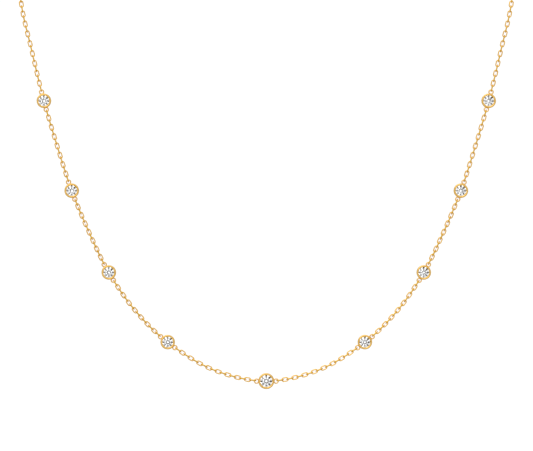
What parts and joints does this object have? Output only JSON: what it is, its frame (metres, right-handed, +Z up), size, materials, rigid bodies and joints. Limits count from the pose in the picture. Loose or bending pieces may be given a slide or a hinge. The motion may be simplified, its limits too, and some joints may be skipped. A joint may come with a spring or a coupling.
{
  "type": "station necklace",
  "caption": "Fine cable-chain necklace with round stones in rimmed tube settings spaced along the front, closed by a spring ring.",
  "frame": {"origin": "the nape of the neck, in the middle of the closed clasp, where the necklace hangs", "axes": "+Z up; the stones face -Y, tilted up by the 10 degrees that the front leans back; +X to the viewer's right, across the loop"},
  "size_m": [0.1252, 0.0769, 0.1338],
  "materials": {
    "gold_setting": "polished yellow gold",
    "gold_chain": "polished yellow gold wire",
    "gold_clasp": "polished yellow gold",
    "stone": "clear faceted stone"
  },
  "bodies": {
    "root": {"setting_1": "gold_setting", "setting_2": "gold_setting", "setting_3": "gold_setting", "setting_4": "gold_setting", "setting_5": "gold_setting", "setting_6": "gold_setting", "setting_7": "gold_setting", "setting_8": "gold_setting", "setting_9": "gold_setting", "stone_1": "stone", "stone_2": "stone", "stone_3": "stone", "stone_4": "stone", "stone_5": "stone", "stone_6": "stone", "stone_7": "stone", "stone_8": "stone", "stone_9": "stone", "chain_1": "gold_chain", "chain_2": "gold_chain", "chain_3": "gold_chain", "chain_4": "gold_chain", "chain_5": "gold_chain", "chain_6": "gold_chain", "chain_7": "gold_chain", "chain_8": "gold_chain", "chain_left": "gold_chain", "chain_right": "gold_chain", "back_left": "gold_chain", "back_right": "gold_chain", "clasp": "gold_clasp", "end_ring": "gold_clasp"}
  },
  "joints": []
}
